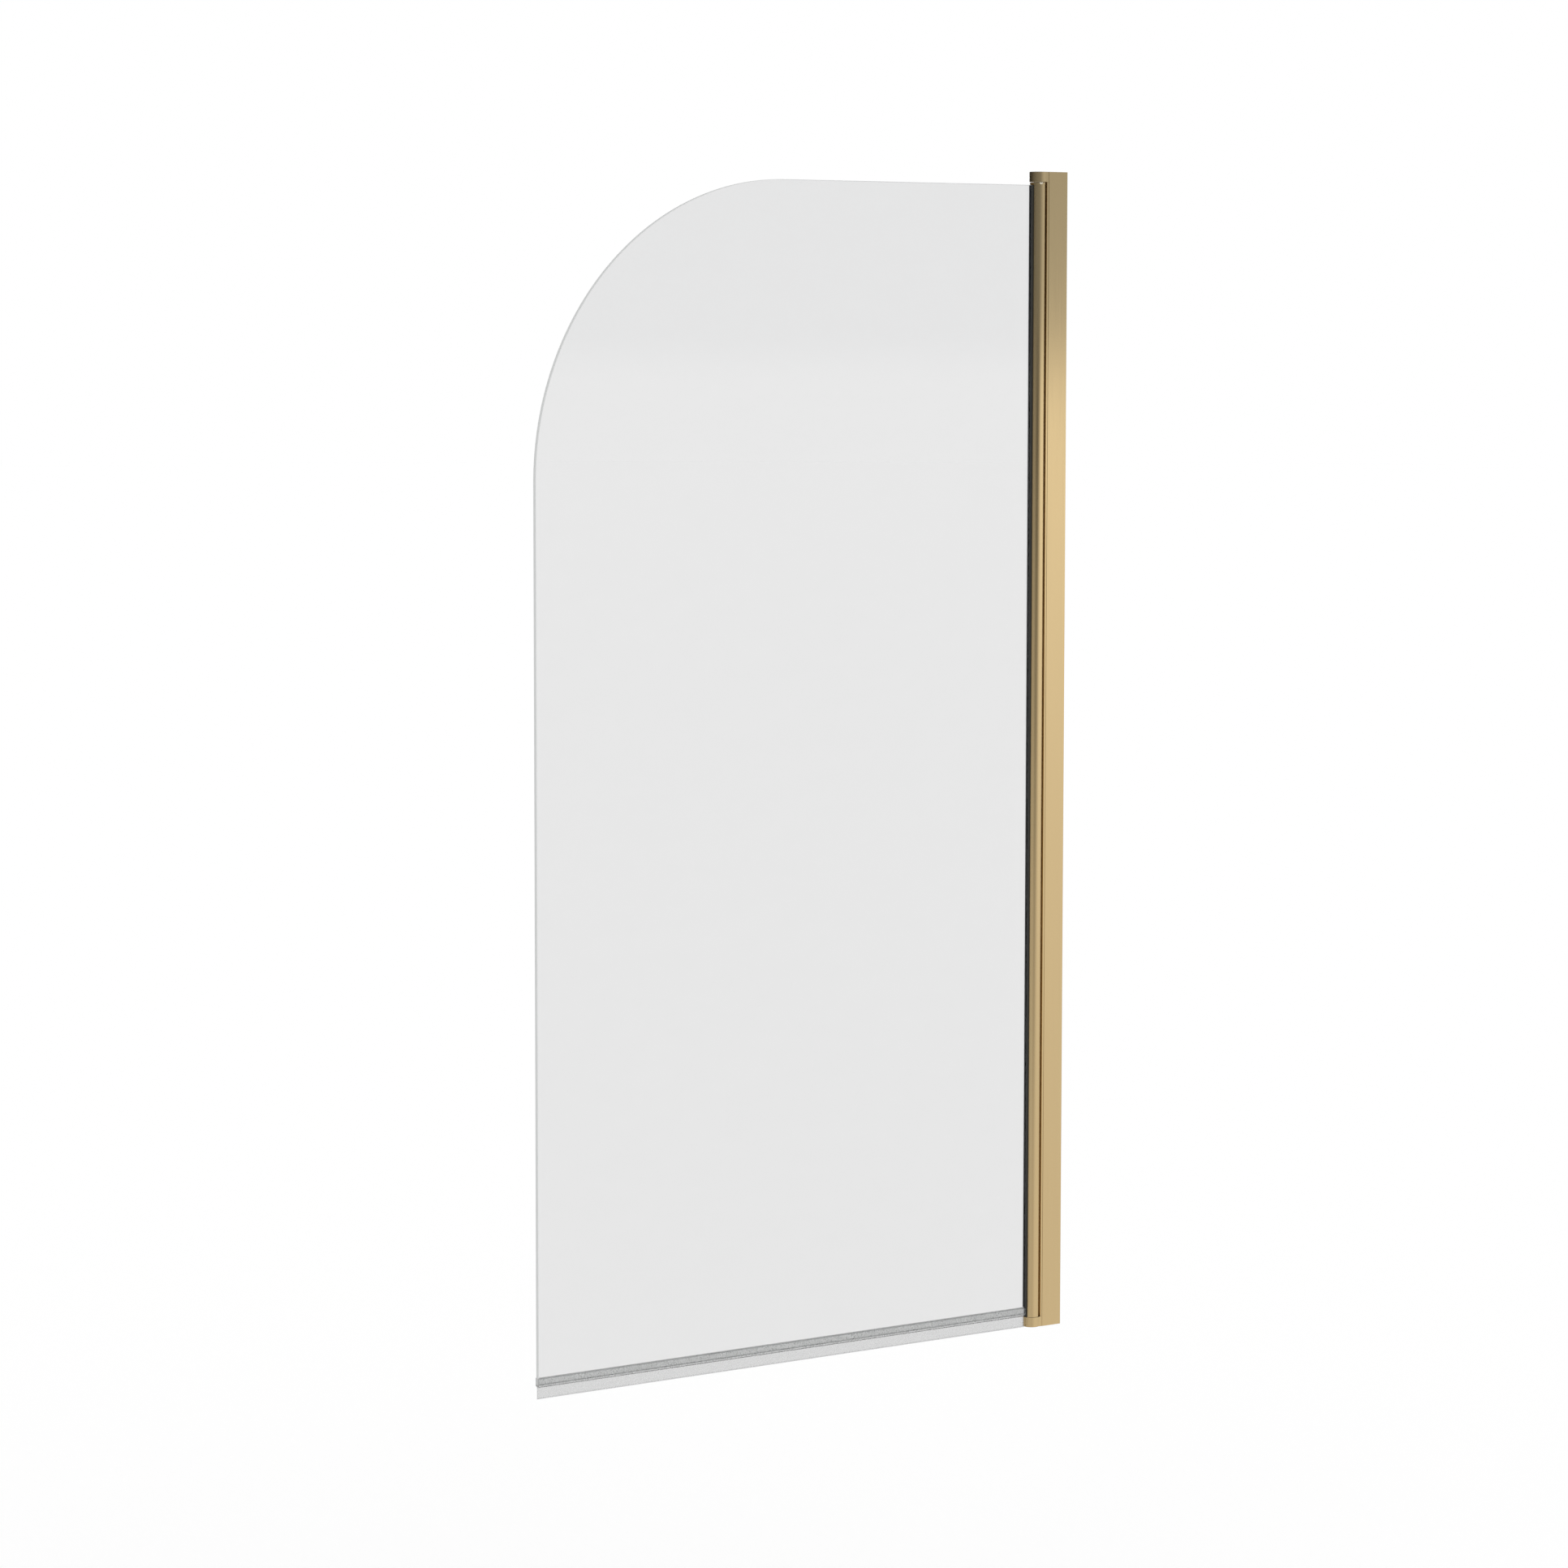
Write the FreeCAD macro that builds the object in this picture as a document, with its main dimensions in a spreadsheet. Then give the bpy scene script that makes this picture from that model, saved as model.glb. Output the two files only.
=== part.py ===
"""Pivoting glass bath screen that hangs on a wall channel.

Frame: origin on the wall face at the lower end of the wall channel, on the glass's middle plane.
+X points into the wall, so the glass runs towards -X, and +Z points up.  Sizes are in millimetres.
"""
import FreeCAD, Part
import math
import os
import re

import Sketcher
from FreeCAD import Placement, Rotation, Vector

# Driving dimensions: alias, value, what it measures.
DIMENSIONS = (
    ("screen_height", 1400, "wall channel from end to end"),
    ("screen_reach", 755, "wall face to the glass's free edge, post pushed home"),
    ("channel_depth", 28.8, "wall channel, out from the wall"),
    ("channel_width", 19, "wall channel, across its two sides"),
    ("channel_wall", 1.1, "wall channel's side walls"),
    ("channel_back", 2, "wall channel's back plate"),
    ("channel_corner", 1.4, "rounding of the channel's edges at the wall"),
    ("slide_gap", 0.1, "post or cap to the channel's side wall, each side"),
    ("fixing_end", 100, "end of the channel to its first wall screw"),
    ("fixing_radius", 2.6, "hole for a 5 mm wall screw"),
    ("tube_clear", 0.1, "pivot tube in front of the channel's mouth"),
    ("head_room", 2.5, "room for wall screw heads behind the post"),
    ("post_wall", 1.5, "post's side and rear walls"),
    ("seat_wall", 1.8, "post's front wall at the bottom of the tube seat"),
    ("seat_gap", 0.9, "pivot tube to its concave seat"),
    ("lip_land", 1.5, "post's flat lip, each side of the concave seat"),
    ("lip_inset", 0.3, "post's lips inside the channel's outer faces"),
    ("lip_gap", 0.1, "post's lips in front of the channel's mouth"),
    ("port_radius", 3.6, "outside of a screw port in the post"),
    ("front_port_inset", 2.4, "front port's centre behind the hollow's front"),
    ("rear_port_inset", 3.1, "rear port's centre ahead of the hollow's rear"),
    ("travel_stop", 0.9, "clamp nut to the hollow's rear, post drawn out"),
    ("clamp_end", 150, "end of the channel to its first clamp screw"),
    ("nut_gap", 0.3, "clamp nut to the hollow's front, post pushed home"),
    ("clamp_hole_gap", 0.25, "clamp screw to its hole or slot"),
    ("screw_radius", 2, "4 mm screws"),
    ("thread_gap", 0.03, "screw to its thread"),
    ("head_radius", 3.6, "screw heads"),
    ("head_height", 2.4, "clamp screw heads"),
    ("screw_end", 0.1, "clamp screw beyond its nut"),
    ("socket_radius", 1.4, "hexagon sockets, over the corners"),
    ("socket_depth", 1.3, "hexagon sockets"),
    ("nut_width", 7, "square clamp nuts"),
    ("nut_thickness", 2.2, "square clamp nuts"),
    ("cup_radius", 5.6, "cup washers under the clamp screws"),
    ("cup_thickness", 1, "cup washers"),
    ("cap_wall", 0.9, "screw caps"),
    ("cap_round", 2, "rounding of the screw caps"),
    ("block_height", 12, "pivot blocks"),
    ("boss_margin", 0.7, "pivot blocks' round bosses, beyond the tube's radius"),
    ("block_edge", 0.5, "chamfer on the pivot blocks' outer edges"),
    ("mouth_gap", 0.3, "end caps behind the channel's mouth"),
    ("block_hole_gap", 0.25, "block screw to its hole"),
    ("block_screw_length", 20, "block screws, head included"),
    ("lid_thickness", 1.2, "channel end caps"),
    ("lid_leg_length", 12, "channel end caps' legs"),
    ("lid_leg_depth", 2, "channel end caps' legs"),
    ("pin_radius", 3, "pivot pins"),
    ("pin_grip", 8, "pivot pins below the washer recess"),
    ("pin_reach", 20, "pivot pins above the block"),
    ("pin_chamfer", 0.5, "pivot pins' ends"),
    ("press_gap", 0.01, "pin in its block"),
    ("running_gap", 0.05, "pin in its bush"),
    ("washer_margin", 1.1, "thrust washer inside the boss's edge"),
    ("washer_thickness", 1.3, "thrust washers"),
    ("washer_recess", 1, "recess in the block for the thrust washer"),
    ("washer_gap", 0.1, "thrust washer to its recess and pin"),
    ("grub_cover", 4, "washer recess to the grub screw's axis"),
    ("grub_inset", 0.8, "grub screws below the boss's surface"),
    ("grub_angle", 144, "grub screws' bearing from +X, away from the bather's side"),
    ("tube_diameter", 19, "pivot tube"),
    ("tube_wall", 1.6, "pivot tube"),
    ("lift_play", 0.4, "tube to the upper thrust washer"),
    ("glass_thickness", 5, "safety glass"),
    ("glass_step", 3, "glass below the tube's upper end"),
    ("setting_height", 3.7, "glass above the tube's lower end"),
    ("glass_corner", 344, "radius of the glass's top corner"),
    ("glass_arris", 0.5, "ground arris on the glass's edges"),
    ("gasket_grip", 0.8, "gasket between the glass and the tube's pocket"),
    ("gasket_lip", 1.5, "gasket outside the tube"),
    ("gasket_neck", 0.5, "gasket at the tube's mouth"),
    ("gasket_proud", 2.8, "gasket's lip end beyond the tube"),
    ("gasket_round", 0.5, "rounding of the gasket's lip"),
    ("neck_length", 0.6, "gasket's neck beyond the tube"),
    ("packer_thickness", 1.2, "glass edge to the pocket's floor"),
    ("packer_length", 60, "edge packers"),
    ("pocket_wall", 1, "walls of the tube's glass pocket"),
    ("pocket_floor", 1.2, "floor of the tube's glass pocket"),
    ("bush_length", 24, "tube bushes"),
    ("bush_gap", 0.05, "tube bush in the tube"),
    ("bush_land", 0.3, "nylon between the bush's bore and its flat"),
    ("key_radius", 2.3, "half-round key of the bush"),
    ("key_inset", 0.3, "key's face inside the tube's surface"),
    ("key_angle", 257, "bearing of the upper bush's key from +X; the lower one is opposite"),
    ("clip_wall", 0.8, "bottom seal's clip"),
    ("clip_base", 1.3, "bottom seal's clip below the glass"),
    ("clip_height", 9.6, "bottom seal's clip"),
    ("clip_round", 0.8, "clip's lower corners"),
    ("clip_gap", 1.7, "tube to the clip's end"),
    ("fin_gap", 1.8, "bottom block's boss to the fin's end"),
    ("fin_half", 0.5, "half the fin's thickness"),
    ("fin_root", 1.6, "half the fin's width where it meets the clip"),
    ("bead_half", 0.8, "half the width of the bead on the fin's edge"),
    ("bead_height", 1.6, "bead on the fin's edge"),
)

# Sizes worked out from the driving dimensions.  X positions are in the row's frame.
DERIVED = {
    "channel_half": "channel_width/2",
    "channel_inner": "channel_half - channel_wall",
    "slide_half": "channel_inner - slide_gap",
    "fixing_third": "(screen_height - 2*fixing_end)/3",
    "pivot_x": "-(channel_depth + tube_clear + tube_radius)",
    "seat_radius": "tube_radius + seat_gap",
    "lip_half": "channel_half - lip_inset",
    "lip_back": "-(channel_depth + lip_gap)",
    "seat_edge": "lip_half - lip_land",
    "lip_x": "pivot_x + sqrt(seat_radius^2 - seat_edge^2)",
    "post_rear": "-(channel_back + head_room)",
    "hollow_front": "pivot_x + seat_radius + seat_wall",
    "hollow_rear": "post_rear - post_wall",
    "hollow_half": "slide_half - post_wall",
    "post_length": "screen_height - 2*block_height",
    "front_port_x": "hollow_front + front_port_inset",
    "rear_port_x": "hollow_rear - rear_port_inset",
    "clamp_x": "hollow_front + nut_gap + nut_width/2",
    "travel": "hollow_rear - travel_stop - nut_width/2 - clamp_x",
    "clamp_stack": "cup_thickness + channel_wall + post_wall + 2*slide_gap + nut_thickness",
    "clamp_hole": "screw_radius + clamp_hole_gap",
    "block_hole": "screw_radius + block_hole_gap",
    "thread_bore": "screw_radius + thread_gap",
    "web_step": "lid_thickness + mouth_gap",
    "boss_radius": "tube_radius + boss_margin",
    "washer_radius": "tube_radius - washer_margin",
    "grub_height": "block_height - washer_recess - grub_cover",
    "grub_length": "boss_radius - grub_inset - pin_radius",
    "tube_radius": "tube_diameter/2",
    "tube_bore": "tube_radius - tube_wall",
    "washer_proud": "washer_thickness - washer_recess",
    "tube_bottom": "block_height + washer_proud",
    "tube_top": "screen_height - block_height - washer_proud - lift_play",
    "tube_length": "tube_top - tube_bottom",
    "hollow_flat": "pin_radius + running_gap + bush_land + bush_gap",
    "lower_key_angle": "key_angle - 180",
    "pocket_end": "hollow_flat + pocket_floor",
    "pocket_half": "glass_thickness/2 + gasket_grip",
    "pocket_outside": "pocket_half + pocket_wall",
    "pocket_root": "sqrt((tube_radius - tube_wall/2)^2 - pocket_outside^2)",
    "tube_mouth": "sqrt(tube_radius^2 - pocket_half^2)",
    "glass_setback": "pocket_end + packer_thickness",
    "glass_inner": "pivot_x - glass_setback",
    "glass_top": "tube_top - glass_step",
    "glass_bottom": "tube_bottom + setting_height",
    "gasket_reach": "tube_radius + gasket_proud",
    "neck_start": "tube_radius + neck_length",
    "fin_height": "glass_bottom - clip_base",
    "fin_setback": "boss_radius + fin_gap",
    "clip_setback": "tube_radius + clip_gap",
    "clip_half": "glass_thickness/2 + clip_wall",
    "clip_top": "fin_height + clip_height",
}

WORD = r"[a-z_]+"

DOC = FreeCAD.newDocument("BathScreen")
SIZES = DOC.addObject("Spreadsheet::Sheet", "Sizes")
PIECES = []


def fill_sheet():
    """One row for each driving dimension: value with its alias, and what it measures."""
    for row, (alias, number, meaning) in enumerate(DIMENSIONS, start=1):
        SIZES.set(f"A{row}", str(number))
        SIZES.setAlias(f"A{row}", alias)
        SIZES.set(f"B{row}", meaning)
    DOC.recompute()


def formula(text):
    """The expression with each derived size written out and each alias pointing at the sheet."""
    aliases = {alias for alias, _, _ in DIMENSIONS}

    def swap(match):
        word = match.group(0)
        if word in DERIVED:
            return f"({re.sub(WORD, swap, DERIVED[word])})"
        return f"Sizes.{word}" if word in aliases else word

    return re.sub(WORD, swap, text)


def amount(text):
    """The expression's value now, as a plain number."""
    return float(SIZES.evalExpression(formula(text)))


def bind(thing, **properties):
    """Tie properties such as Length or Radius to the sheet."""
    for name, text in properties.items():
        thing.setExpression(name, formula(text))


def new_body(name):
    """An empty body whose label names the piece."""
    body = DOC.addObject("PartDesign::Body", name)
    body.Label = name
    return body


def piece(thing, label=None):
    """Mark an object as a finished sub-part of the screen."""
    if label:
        thing.Label = label
    PIECES.append(thing)
    return thing


def put(thing, x="0", y="0", z="0", turn=Rotation()):
    """Turn an object about its origin and tie its place to the sheet."""
    thing.Placement = Placement(Vector(amount(x), amount(y), amount(z)), turn)
    for axis, text in zip("xyz", (x, y, z)):
        if text != "0":
            thing.setExpression(f".Placement.Base.{axis}", formula(text))
    return thing


def new_sketch(body, plane, rise):
    """A sketch on one of the body's own origin planes, lifted along the plane's normal."""
    planes = {feature.Role: feature for feature in body.Origin.OriginFeatures}
    sketch = body.newObject("Sketcher::SketchObject", f"{body.Name}_sketch")
    sketch.AttachmentSupport = [(planes[plane], "")]
    sketch.MapMode = "FlatFace"
    if rise != "0":
        sketch.setExpression(".AttachmentOffset.Base.z", formula(rise))
    return sketch


def fix_value(sketch, constraint, text):
    """Add a dimension and tie it to the sheet, unless it is a plain zero."""
    index = sketch.addConstraint(constraint)
    if text != "0":
        name = f"size{index}"
        sketch.renameConstraint(index, name)
        sketch.setExpression(f"Constraints.{name}", formula(text))


def fix_point(sketch, geometry, vertex, corner):
    """Dimension a point from the sketch's origin."""
    for kind, text in zip(("DistanceX", "DistanceY"), corner):
        constraint = Sketcher.Constraint(kind, -1, 1, geometry, vertex, amount(text))
        fix_value(sketch, constraint, text)


def arc_between(start, end, radius):
    """Arc from start to end with its centre on the left of the chord, or on the right if radius < 0."""
    chord = end - start
    half = chord.Length/2
    side = Vector(-chord.y, chord.x, 0).normalize()*math.copysign(1, radius)
    centre = (start + end)/2 + side*math.sqrt(max(radius*radius - half*half, 0))
    middle = centre - side*abs(radius)
    return Part.Arc(start, middle, end)


def outline(body, corners, arcs=None, plane="XY_Plane", rise="0"):
    """Closed outline through the corners.  arcs maps the index of a side to its radius, signed as above."""
    arcs = arcs or {}
    sketch = new_sketch(body, plane, rise)
    points = [Vector(amount(x), amount(y), 0) for x, y in corners]
    firsts, lasts = [], []
    for index, start in enumerate(points):
        end = points[(index + 1) % len(points)]
        if index not in arcs:
            side = sketch.addGeometry(Part.LineSegment(start, end), False)
            ends = (1, 2)
        else:
            sign = -1 if arcs[index].startswith("-") else 1
            radius = arcs[index].lstrip("-")
            curve = arc_between(start, end, sign*amount(radius))
            side = sketch.addGeometry(curve, False)
            begins_here = sketch.getPoint(side, 1).distanceToPoint(start) < 1e-6
            ends = (1, 2) if begins_here else (2, 1)
            fix_value(sketch, Sketcher.Constraint("Radius", side, amount(radius)), radius)
        firsts.append((side, ends[0]))
        lasts.append((side, ends[1]))
    for index, corner in enumerate(corners):
        before = lasts[index - 1]
        after = firsts[index]
        sketch.addConstraint(Sketcher.Constraint("Coincident", *before, *after))
        fix_point(sketch, *after, corner)
    return sketch


def circles(body, centres, radius, plane="XY_Plane", rise="0"):
    """Sketch of equal circles."""
    sketch = new_sketch(body, plane, rise)
    for centre in centres:
        place = Vector(amount(centre[0]), amount(centre[1]), 0)
        ring = sketch.addGeometry(Part.Circle(place, Vector(0, 0, 1), amount(radius)), False)
        fix_point(sketch, ring, 3, centre)
        fix_value(sketch, Sketcher.Constraint("Radius", ring, amount(radius)), radius)
    return sketch


def rectangle(left, right, low, high):
    """Corners of a rectangle, anticlockwise."""
    return ((left, low), (right, low), (right, high), (left, high))


def pad(body, sketch, length, side="One side"):
    """Raise a sketch into the body."""
    feature = body.newObject("PartDesign::Pad", f"{body.Name}_pad")
    feature.Profile = sketch
    feature.SideType = side
    bind(feature, Length=length)
    DOC.recompute()
    return feature


def pocket(body, sketch, depth, along_normal=False):
    """Cut a sketch out of the body, against the sketch's normal unless told otherwise."""
    before = body.Shape.Volume
    feature = body.newObject("PartDesign::Pocket", f"{body.Name}_pocket")
    feature.Profile = sketch
    feature.Reversed = along_normal
    bind(feature, Length=depth)
    DOC.recompute()
    must_shrink(body, before)
    return feature


def must_shrink(body, before):
    """Stop if the last cut of the body removed nothing."""
    if body.Shape.Volume > before - 1e-3:
        raise ValueError(f"a cut in {body.Label} removed nothing")


def edges_where(body, test):
    """Names of the body's edges that pass the test, such as those at one height."""
    return [f"Edge{number}" for number, edge in enumerate(body.Shape.Edges, start=1) if test(edge)]


def trim_edges(body, kind, names, size):
    """Chamfer or fillet the named edges of the body's last feature."""
    base = body.Tip
    feature = body.newObject(f"PartDesign::{kind}", f"{body.Name}_{kind.lower()}")
    feature.Base = (base, names)
    bind(feature, **{"Size" if kind == "Chamfer" else "Radius": size})
    DOC.recompute()
    return feature


def turned(body, profile, arcs=None):
    """Solid of revolution about Z: the profile's corners are (radius, height)."""
    sketch = outline(body, profile, arcs, "XZ_Plane")
    feature = body.newObject("PartDesign::Revolution", f"{body.Name}_turning")
    feature.Profile = sketch
    feature.ReferenceAxis = (sketch, ["V_Axis"])
    feature.Angle = 360
    DOC.recompute()
    return body


def socket(body, top):
    """Hexagon socket, cut down from a screw's top."""
    before = body.Shape.Volume
    cutter = body.newObject("PartDesign::SubtractivePrism", f"{body.Name}_socket")
    cutter.Polygon = 6
    bind(cutter, Circumradius="socket_radius", Height="socket_depth")
    put(cutter, z=f"{top} - socket_depth")
    DOC.recompute()
    must_shrink(body, before)


def radial(angle):
    """Turn that lays Z along the bearing and leaves Y upright."""
    along = Vector(math.cos(math.radians(angle)), math.sin(math.radians(angle)), 0)
    upright = Vector(0, 0, 1)
    return Rotation(upright.cross(along), upright, along, "ZXY")


def radial_cylinder(body, kind, angle, sizes, sweep=360, **place):
    """Cylinder whose axis runs outwards along a bearing, added to the body or cut from it."""
    before = body.Shape.Volume
    feature = body.newObject(f"PartDesign::{kind}Cylinder", f"{body.Name}_radial")
    bind(feature, **sizes)
    feature.Angle = sweep
    put(feature, turn=radial(angle), **place)
    DOC.recompute()
    if kind == "Subtractive":
        must_shrink(body, before)
    return feature


def group(name, members):
    """Like solids that share one node."""
    bundle = DOC.addObject("Part::Compound", name)
    bundle.Links = members
    return piece(bundle, name)


UPSIDE_DOWN = Rotation(Vector(1, 0, 0), 180)
ALONG_Y = Rotation(Vector(1, 0, 0), -90)
CLAMP_HEIGHTS = ("clamp_end", "screen_height/2", "screen_height - clamp_end")
FIXING_HEIGHTS = tuple(f"fixing_end + {step}*fixing_third" for step in range(4))


def at_height(height):
    """Edge test: the whole edge lies at this height."""
    level = amount(height)
    return lambda edge: max(abs(vertex.Z - level) for vertex in edge.Vertexes) < 1e-4


# Wall side


def wall_channel():
    """U section, open away from the wall, with wall screw holes and clamp screw holes."""
    body = new_body("wall_channel")
    corners = (
        ("-channel_depth", "-channel_half"),
        ("0", "-channel_half"),
        ("0", "channel_half"),
        ("-channel_depth", "channel_half"),
        ("-channel_depth", "channel_inner"),
        ("-channel_back", "channel_inner"),
        ("-channel_back", "-channel_inner"),
        ("-channel_depth", "-channel_inner"),
    )
    pad(body, outline(body, corners), "screen_height")
    half = amount("channel_half")

    def at_wall(edge):
        middle = edge.CenterOfMass
        return abs(middle.x) < 1e-4 and abs(abs(middle.y) - half) < 1e-4 and edge.Length > half*2

    trim_edges(body, "Fillet", edges_where(body, at_wall), "channel_corner")
    fixings = circles(body, [("0", z) for z in FIXING_HEIGHTS], "fixing_radius", "YZ_Plane")
    pocket(body, fixings, "channel_back")
    clamps = [("clamp_x", z) for z in CLAMP_HEIGHTS]
    holes = circles(body, clamps, "clamp_hole", "XZ_Plane", "-channel_inner")
    pocket(body, holes, "channel_wall")
    piece(body)


def channel_cap(name, flipped):
    """Lid between the channel's walls, over the post's end, with a leg down the back plate."""
    body = new_body(name)
    front = "-(channel_depth - mouth_gap)"
    lid = rectangle(front, "-channel_back", "-slide_half", "slide_half")
    pad(body, outline(body, lid), "lid_thickness")
    leg = rectangle("-(channel_back + lid_leg_depth)", "-channel_back", "-slide_half", "slide_half")
    pad(body, outline(body, leg), "lid_leg_length")
    if flipped:
        put(body, z="screen_height", turn=UPSIDE_DOWN)
    piece(body)


def clamp_set():
    """Screws, nuts, cup washers and caps that lock the post at the width it is set to."""
    under_head = "channel_half + cup_thickness"
    nut_face = "hollow_half - slide_gap"
    screw_tip = "-(clamp_stack + screw_end)"
    screws, nuts, cups, caps = [], [], [], []
    for z in CLAMP_HEIGHTS:
        screw = new_body("clamp_screw")
        profile = (
            ("0", screw_tip),
            ("screw_radius", screw_tip),
            ("screw_radius", "0"),
            ("head_radius", "0"),
            ("head_radius", "head_height"),
            ("0", "head_height"),
        )
        turned(screw, profile)
        socket(screw, "head_height")
        screws.append(put(screw, "clamp_x", under_head, z, ALONG_Y))

        nut = new_body("clamp_nut")
        edge = "nut_width/2"
        pad(nut, outline(nut, rectangle(f"-{edge}", edge, f"-{edge}", edge)), "nut_thickness")
        pocket(nut, circles(nut, [("0", "0")], "thread_bore"), "nut_thickness", True)
        nuts.append(put(nut, "clamp_x", f"{nut_face} - nut_thickness", z, ALONG_Y))

        cup = new_body("clamp_cup_washer")
        ring = rectangle("clamp_hole", "cup_radius", "0", "cup_thickness")
        turned(cup, ring)
        cups.append(put(cup, "clamp_x", "channel_half", z, ALONG_Y))

        cap = new_body("clamp_screw_cap")
        roof = "head_height + 2*cap_wall"
        profile = (
            ("cup_radius - cap_wall", "0"),
            ("cup_radius", "0"),
            ("cup_radius", f"{roof} - cap_round"),
            ("cup_radius - cap_round", roof),
            ("0", roof),
            ("0", f"{roof} - cap_wall"),
            ("cup_radius - cap_wall", f"{roof} - cap_wall"),
        )
        turned(cap, profile, {2: "cap_round"})
        caps.append(put(cap, "clamp_x", under_head, z, ALONG_Y))
    group("clamp_screws", screws)
    group("clamp_nuts", nuts)
    group("clamp_cup_washers", cups)
    group("clamp_screw_caps", caps)


# Hinge post


def hinge_post():
    """Closed section that slides in the channel, with a concave seat for the pivot tube.

    Its two lips stand outside the channel, almost level with the channel's sides, and hide its mouth.
    Two round ports run its whole length and take the block screws.  Slots in the far side wall let the
    clamp screws pass while the post is drawn out.
    """
    body = new_body("hinge_post")
    corners = (
        ("lip_x", "-lip_half"),
        ("lip_back", "-lip_half"),
        ("lip_back", "-slide_half"),
        ("post_rear", "-slide_half"),
        ("post_rear", "slide_half"),
        ("lip_back", "slide_half"),
        ("lip_back", "lip_half"),
        ("lip_x", "lip_half"),
        ("lip_x", "seat_edge"),
        ("lip_x", "-seat_edge"),
    )
    pad(body, outline(body, corners, {8: "-seat_radius"}, rise="block_height"), "post_length")
    hollow = rectangle("hollow_front", "hollow_rear", "-hollow_half", "hollow_half")
    pocket(body, outline(body, hollow, rise="block_height"), "post_length", True)
    centres = (("front_port_x", "0"), ("rear_port_x", "0"))
    pad(body, circles(body, centres, "port_radius", rise="block_height"), "post_length")
    bores = circles(body, centres, "thread_bore", rise="block_height")
    pocket(body, bores, "post_length", True)
    slots = [
        rectangle("clamp_x", "clamp_x + travel", f"{z} - clamp_hole", f"{z} + clamp_hole")
        for z in CLAMP_HEIGHTS
    ]
    for slot in slots:
        pocket(body, outline(body, slot, plane="XZ_Plane", rise="-hollow_half"), "post_wall")
    ends = [(x, z) for z in CLAMP_HEIGHTS for x in ("clamp_x", "clamp_x + travel")]
    pocket(body, circles(body, ends, "clamp_hole", "XZ_Plane", "-hollow_half"), "post_wall")
    piece(body)


def pivot_block(name, flipped):
    """Round boss that carries the pivot pin, a neck as wide as the post's lips, and a web.

    The web stands in the channel, closes the post's end and is screwed to it.
    """
    body = new_body(name)
    web = rectangle("pivot_x", "post_rear", "-slide_half", "slide_half")
    pad(body, outline(body, web), "block_height")
    neck = rectangle("pivot_x", "lip_back", "-lip_half", "lip_half")
    pad(body, outline(body, neck), "block_height")
    pad(body, circles(body, [("pivot_x", "0")], "boss_radius"), "block_height")
    trim_edges(body, "Chamfer", edges_where(body, at_height("0")), "block_edge")
    step = rectangle("lip_back", "post_rear", "-channel_inner", "channel_inner")
    pocket(body, outline(body, step), "web_step", True)
    axis = [("pivot_x", "0")]
    recess = circles(body, axis, "washer_radius + washer_gap", rise="block_height")
    pocket(body, recess, "washer_recess")
    bore = circles(body, axis, "pin_radius + press_gap", rise="block_height")
    pocket(body, bore, "washer_recess + pin_grip")
    centres = (("front_port_x", "0"), ("rear_port_x", "0"))
    pocket(body, circles(body, centres, "block_hole", rise="block_height"), "block_height")
    step_level = at_height("web_step")
    sinks = edges_where(body, lambda edge: step_level(edge) and "Circle" in edge.Curve.TypeId)
    trim_edges(body, "Chamfer", sinks, "head_radius - block_hole")
    bearing = -amount("grub_angle") if flipped else amount("grub_angle")
    hole = {"Radius": "thread_bore", "Height": "tube_diameter"}
    radial_cylinder(body, "Subtractive", bearing, hole, x="pivot_x", z="grub_height")
    if flipped:
        put(body, z="screen_height", turn=UPSIDE_DOWN)
    piece(body)


def pivot_pin(name, flipped):
    """Steel pin from the block's blind bore up into the tube's bush."""
    body = new_body(name)
    foot = "block_height - washer_recess - pin_grip"
    tip = "block_height + pin_reach"
    profile = (
        ("0", foot),
        ("pin_radius - pin_chamfer", foot),
        ("pin_radius", f"{foot} + pin_chamfer"),
        ("pin_radius", f"{tip} - pin_chamfer"),
        ("pin_radius - pin_chamfer", tip),
        ("0", tip),
    )
    turned(body, profile)
    if flipped:
        put(body, x="pivot_x", z="screen_height", turn=UPSIDE_DOWN)
    else:
        put(body, x="pivot_x")
    piece(body)


def thrust_washer(name, flipped):
    """Nylon ring in the block's recess, which the tube's bush turns on."""
    body = new_body(name)
    bottom = "block_height - washer_recess"
    inner = "pin_radius + washer_gap"
    turned(body, rectangle(inner, "washer_radius", bottom, f"{bottom} + washer_thickness"))
    if flipped:
        put(body, x="pivot_x", z="screen_height", turn=UPSIDE_DOWN)
    else:
        put(body, x="pivot_x")
    piece(body)


def block_screws():
    """Countersunk screws through the webs into the post's ports."""
    screws = []
    for flipped in (False, True):
        for x in ("front_port_x", "rear_port_x"):
            screw = new_body("block_screw")
            profile = (
                ("0", "0"),
                ("head_radius", "0"),
                ("screw_radius", "head_radius - screw_radius"),
                ("screw_radius", "block_screw_length"),
                ("0", "block_screw_length"),
            )
            turned(screw, profile)
            socket(screw, "socket_depth")
            height = "screen_height - web_step" if flipped else "web_step"
            screws.append(put(screw, x, z=height, turn=UPSIDE_DOWN if flipped else Rotation()))
    group("block_screws", screws)


def pin_grub_screws():
    """Grub screws that lock the pins in the blocks."""
    screws = []
    bearing = math.radians(amount("grub_angle"))
    start_x = f"pivot_x + {math.cos(bearing):.6f}*pin_radius"
    start_y = f"{math.sin(bearing):.6f}*pin_radius"
    for z in ("grub_height", "screen_height - grub_height"):
        screw = new_body("pin_grub_screw")
        turned(screw, rectangle("0", "screw_radius", "0", "grub_length"))
        socket(screw, "grub_length")
        screws.append(put(screw, start_x, start_y, z, radial(amount("grub_angle"))))
    group("pin_grub_screws", screws)


# Leaf


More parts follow.
